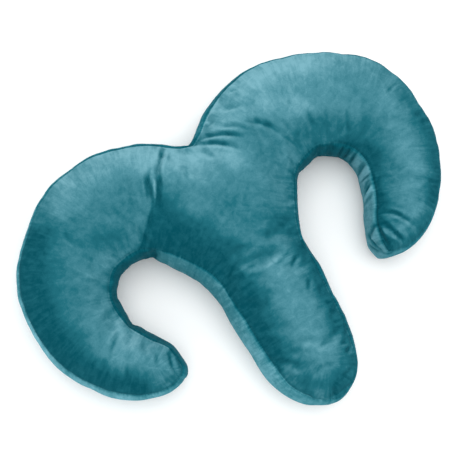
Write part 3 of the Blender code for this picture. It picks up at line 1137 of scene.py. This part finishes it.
# %% [markdown]
# ## Noises in the nap
# Brushed clouds, a finer mottle, crushed lines and the grain are read at the object's own
# places, in metres. The streaks beside the seams are read at the foot on the seam, in
# millimetres. The pile's own grain is finer than a pixel of the photograph, so it is drawn at
# 2.6 mm, where it still shows.
# %% Table of noises
Noise = namedtuple("Noise", "name read_at size detail distortion kind")
NOISES = (
    Noise("clouds", "solid", 55 * MM, 4.0, 0.0, "FBM"),
    Noise("mottle", "solid", 14 * MM, 4.0, 0.7, "FBM"),
    Noise("crush", "solid", 38 * MM, 2.0, 0.9, "RIDGED_MULTIFRACTAL"),
    Noise("grain", "solid", 2.6 * MM, 1.0, 0.0, "FBM"),
    Noise("comb", "combed", 9.0, 2.0, 0.5, "FBM"),
    Noise("streaks", "seam_foot", 12.0, 2.0, 0.0, "FBM"),
    Noise("patches", "seam_foot", 50.0, 1.0, 0.0, "FBM"),
    Noise("teeth", "seam_foot", 5.0, 1.0, 0.0, "FBM"),
)
print(len(NOISES), "noises:", ", ".join(row.name for row in NOISES))

# %% [markdown]
# ## Where the noises count
# Most of the noises belong to one part of the cloth only, such as the first millimetres beside a
# seam. Each row reads one value, mostly the distance from the seam in millimetres. Between a
# start and an end of that value, the weight changes softly from one number to another.
# %% Table of weights
Weight = namedtuple("Weight", "name of start end at_start at_end")
WEIGHTS = (
    Weight("patchy", "patches", 0.4, 0.62, 0.0, 1.0),
    Weight("by the seam", "seam_gap", 0.0, 80.0, 0.75, 0.0),
    Weight("combing", "seam_gap", 20.0, 130.0, 0.4, 0.14),
    Weight("in the seam", "seam_gap", 1.0, 10.0, 0.7, 0.0),
    # The edge weight paints a line beside the seam: a painted highlight on the panels' seam ridge
    # and painted shade on the boxing's rim.
    Weight("edge", "seam_gap", 2.0, 7.0, 1.0, 0.0),
    Weight("crushed", "crush", 0.6, 1.3, 0.0, 1.0),
)
print(len(WEIGHTS), "weights:", ", ".join(row.name for row in WEIGHTS))

# %% [markdown]
# ## Everything that the tone depends on
# The nodes that read the cloth come first: its place, its attributes, and how far its own
# normal turns along the direction of the painted light and across it. The noises and weights of
# the two tables follow.
# One dictionary keeps them all by name, so that a later node can ask for any of them.
# %% Read the cloth
ATTRIBUTES = {
    "seam_gap": "Fac",
    "seam_foot": "Vector",
    "combed": "Vector",
    "crease_shading": "Fac",
    "brushed_and_shaded": "Fac",
}


def read_cloth(tree, nap_and_light, across):
    place = add_node(tree, "ShaderNodeTexCoord")
    values = {"solid": place.outputs["Object"]}
    for name, output in ATTRIBUTES.items():
        attribute = add_node(tree, "ShaderNodeAttribute", attribute_name=name)
        values[name] = attribute.outputs[output]
    # The turn along the first direction paints slopes facing it pale and slopes facing away deep:
    # painted light and shade by the slope's direction. The square of the turn across it paints
    # steep side slopes deeper: painted shade.
    for name, direction in (("along", nap_and_light), ("across", across)):
        values[name] = add_node(
            tree,
            "ShaderNodeVectorMath",
            {0: place.outputs["Normal"], 1: direction},
            operation="DOT_PRODUCT",
        ).outputs["Value"]
    values["side_slope_shade"] = add_node(
        tree, "ShaderNodeMath", {0: values["across"], 1: 2.0}, operation="POWER"
    ).outputs[0]
    return values


def ruffle_nap(tree, values):
    """Adds the noises and the weights of the two tables to the values."""
    for name, read_at, size, detail, distortion, kind in NOISES:
        values[name] = add_node(
            tree,
            "ShaderNodeTexNoise",
            {
                "Vector": values[read_at],
                "Scale": 1 / size,
                "Detail": detail,
                "Distortion": distortion,
            },
            noise_type=kind,
        ).outputs["Fac"]
        values["swing of " + name] = add_node(
            tree, "ShaderNodeMath", {0: values[name], 1: 0.5}, operation="SUBTRACT"
        ).outputs[0]
    for name, of, start, end, at_start, at_end in WEIGHTS:
        values[name] = add_node(
            tree,
            "ShaderNodeMapRange",
            {
                "Value": values[of],
                "From Min": start,
                "From Max": end,
                "To Min": at_start,
                "To Max": at_end,
            },
            interpolation_type="SMOOTHSTEP",
        ).outputs["Result"]


print(len(ATTRIBUTES), "attributes are read")

# %% [markdown]
# ## How pale the pile shows
# The tone starts at the cloth's own and adds up terms, each a value times a number or times a
# weight. The broad ones are limited first, so that the finest ones still show in the deepest and
# in the palest parts. The broad ones are the turn along the nap, which is painted light and shade
# by the slope's direction; the turn across it, where both sides are painted deep as painted
# shade;
# the strokes, which are brushed nap and painted light and shade; the creases, which are painted
# shade in the bottoms of folds, gathers, pinches and pleats and a painted highlight on ridges and
# on the gathers' backs; patchy streaks by the seam; clouds; and the edge beside the seam, which
# is a painted highlight on the panels and painted shade on the boxing. The fine ones are the
# combing, the teeth in the seam, mottle, grain and crushed lines.
# %% Add up the tone
BROAD_TERMS = (
    ("along", 1.0),
    ("side_slope_shade", -1.0),
    ("brushed_and_shaded", 1.0),
    ("crease_shading", -0.5),
    ("patchy streaks", "by the seam"),
    ("swing of clouds", 0.38),
)
FINE_TERMS = (
    ("swing of comb", "combing"),
    ("swing of teeth", "in the seam"),
    ("swing of mottle", 0.36),
    ("swing of grain", 0.16),
    ("crushed", -0.17),
)
BROAD_LIMITS = (0.07, 0.98)
FINE_LIMITS = (0.0, 1.0)


def pile_tone(tree, values, tone, edge):
    """From 0 for the deepest teal to 1 for the palest."""
    values["patchy streaks"] = add_node(
        tree,
        "ShaderNodeMath",
        {0: values["swing of streaks"], 1: values["patchy"]},
        operation="MULTIPLY",
    ).outputs[0]
    broad_terms = (*BROAD_TERMS, ("edge", edge))
    for terms, (least, most) in ((broad_terms, BROAD_LIMITS), (FINE_TERMS, FINE_LIMITS)):
        for name, factor in terms:
            inputs = {0: values[name], 1: values.get(factor, factor), 2: tone}
            tone = add_node(tree, "ShaderNodeMath", inputs, operation="MULTIPLY_ADD").outputs[0]
        limits = {"Value": tone, "Min": least, "Max": most}
        tone = add_node(tree, "ShaderNodeClamp", limits).outputs[0]
    return tone


print(len(BROAD_TERMS) + 1, "broad terms and", len(FINE_TERMS), "fine ones")

# %% [markdown]
# ## From the tone to the velvet
# The tone picks a teal from four, from deep to pale. A little sheen gives the soft light rim of
# a pile, and almost no gloss is left. The grain also raises the surface a little, as the tips of
# the pile do.
# %% The velvet
SHEEN_TEAL = linear("4fb3c6")
PILE_RELIEF = 0.6 * MM


def velvet(name, teals, nap_and_light, across, tone, edge):
    material = bpy.data.materials.new(name)
    material.use_nodes = True
    tree = material.node_tree
    tree.nodes.clear()

    values = read_cloth(tree, nap_and_light, across)
    ruffle_nap(tree, values)
    colour = add_node(tree, "ShaderNodeValToRGB", {"Fac": pile_tone(tree, values, tone, edge)})
    ramp = colour.color_ramp
    for step in range(1, len(teals) - 1):
        ramp.elements.new(step / (len(teals) - 1))
    for element, teal in zip(ramp.elements, teals):
        element.color = teal

    relief = add_node(
        tree,
        "ShaderNodeBump",
        {"Height": values["grain"], "Strength": 0.25, "Distance": PILE_RELIEF},
    )
    surface = add_node(
        tree,
        "ShaderNodeBsdfPrincipled",
        {
            "Base Color": colour.outputs["Color"],
            "Roughness": 0.85,
            "IOR": 1.45,
            "Specular IOR Level": 0.05,
            "Sheen Weight": 0.15,
            "Sheen Roughness": 0.4,
            "Sheen Tint": SHEEN_TEAL,
            "Normal": relief.outputs["Normal"],
        },
    )
    add_node(tree, "ShaderNodeOutputMaterial", {"Surface": surface.outputs["BSDF"]})
    return material


print("The grain's relief is", PILE_RELIEF / MM, "mm high")

# %% [markdown]
# ## One velvet on two cloths
# The panels and the boxing are cut from one velvet, but the nap runs in another direction on
# each. Each cloth's direction, in the object's own axes, is the one its slopes are painted pale
# towards. That is painted light and shade by the slope's direction, standing in part for the nap.
# On the panels it points to the side of the key; on the boxing, walls facing -X are painted
# paler.
# The panels' edge beside the seam is painted a little paler, a painted highlight on the seam's
# ridge, and the boxing's a little deeper, a painted shade under the panel's edge.
# %% Make the two velvets
panel_velvet = velvet(
    "Teal polyester velvet of the panels",
    PANEL_TEALS,
    nap_and_light=(0.22, 0.39, 0.0),
    across=(0.76, -0.16, 0.0),
    tone=0.51,
    edge=0.12,
)
boxing_velvet = velvet(
    "Teal polyester velvet of the boxing",
    BOXING_TEALS,
    nap_and_light=(-0.28, 0.0, 0.0),
    across=(0.0, 0.0, 0.0),
    tone=0.43,
    edge=-0.16,
)
pillow.data.materials.append(panel_velvet)
pillow.data.materials.append(boxing_velvet)
print("Materials:", [material.name for material in pillow.data.materials])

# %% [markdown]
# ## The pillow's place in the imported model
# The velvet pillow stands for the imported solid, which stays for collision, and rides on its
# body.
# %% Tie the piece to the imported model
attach(pillow, "root")
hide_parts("pillow")
print(pillow.name, "rides on root and stands for pillow")

# %% [markdown]
# ## Floor
# The photograph was cut out onto white, so the floor is a plain pale one without an edge in
# view. Being almost white, it also throws light up at the boxing.
# %% Floor
FLOOR_RADIUS = 6.0

bm = bmesh.new()
bmesh.ops.create_circle(bm, cap_ends=True, segments=64, radius=FLOOR_RADIUS)
floor_mesh = bpy.data.meshes.new("floor")
bm.to_mesh(floor_mesh)
bm.free()
floor = bpy.data.objects.new("floor", floor_mesh)
bpy.context.scene.collection.objects.link(floor)

paint = bpy.data.materials.new("Matt white paint, rolled")
paint.use_nodes = True
surface = paint.node_tree.nodes["Principled BSDF"]
surface.inputs["Base Color"].default_value = linear("fafbfb")
surface.inputs["Roughness"].default_value = 0.9
floor_mesh.materials.append(paint)
print("The floor's radius is", FLOOR_RADIUS, "m")

# %% [markdown]
# ## Light
# One large soft key hangs almost straight above the notch, so that slopes on that side are
# bright. A white sky fills the rest. The Standard view keeps the teal saturated.
# %% Light
KEY_PLACE = Vector((0.12, 0.28, 2.75))
KEY_SIZE = 3.0
KEY_POWER = 44.0
SKY_STRENGTH = 1.05

key = bpy.data.lights.new("key", "AREA")
key.shape = "DISK"
key.size = KEY_SIZE
key.energy = KEY_POWER
key_object = bpy.data.objects.new("key", key)
key_object.location = KEY_PLACE
key_object.rotation_euler = (-KEY_PLACE).to_track_quat("-Z", "Y").to_euler()
bpy.context.scene.collection.objects.link(key_object)

sky = bpy.data.worlds.new("soft white sky")
sky.use_nodes = True
sky.node_tree.nodes["Background"].inputs["Color"].default_value = (1, 1, 1, 1)
sky.node_tree.nodes["Background"].inputs["Strength"].default_value = SKY_STRENGTH
bpy.context.scene.world = sky
bpy.context.scene.view_settings.view_transform = "Standard"
print("The key is", round(KEY_PLACE.length, 2), "m away")

# %% [markdown]
# ## Camera
# The photograph looks almost straight down, turned by a third of a right angle, from about 2.4
# metres. The camera's eye, its aim and its upward side come from fitting the outline.
# %% Camera
EYE = Vector((-0.30728, -0.15463, 2.487))
AIM = Vector((-0.01733, 0.07873, 0.087))
UPWARD = Vector((0.50080, 0.85359, 0.14350))
LENS = 79.2

backward = (EYE - AIM).normalized()
right = UPWARD.cross(backward).normalized()
upward = backward.cross(right)
turn = Matrix((right, upward, backward)).transposed().to_4x4()
lens = bpy.data.cameras.new("camera")
lens.lens = LENS
lens.sensor_width = 36.0
camera = bpy.data.objects.new("camera", lens)
camera.matrix_world = Matrix.Translation(EYE) @ turn
bpy.context.scene.collection.objects.link(camera)
bpy.context.scene.camera = camera
print("The camera looks down at", round(np.degrees(np.arcsin(backward.z)), 1), "degrees")
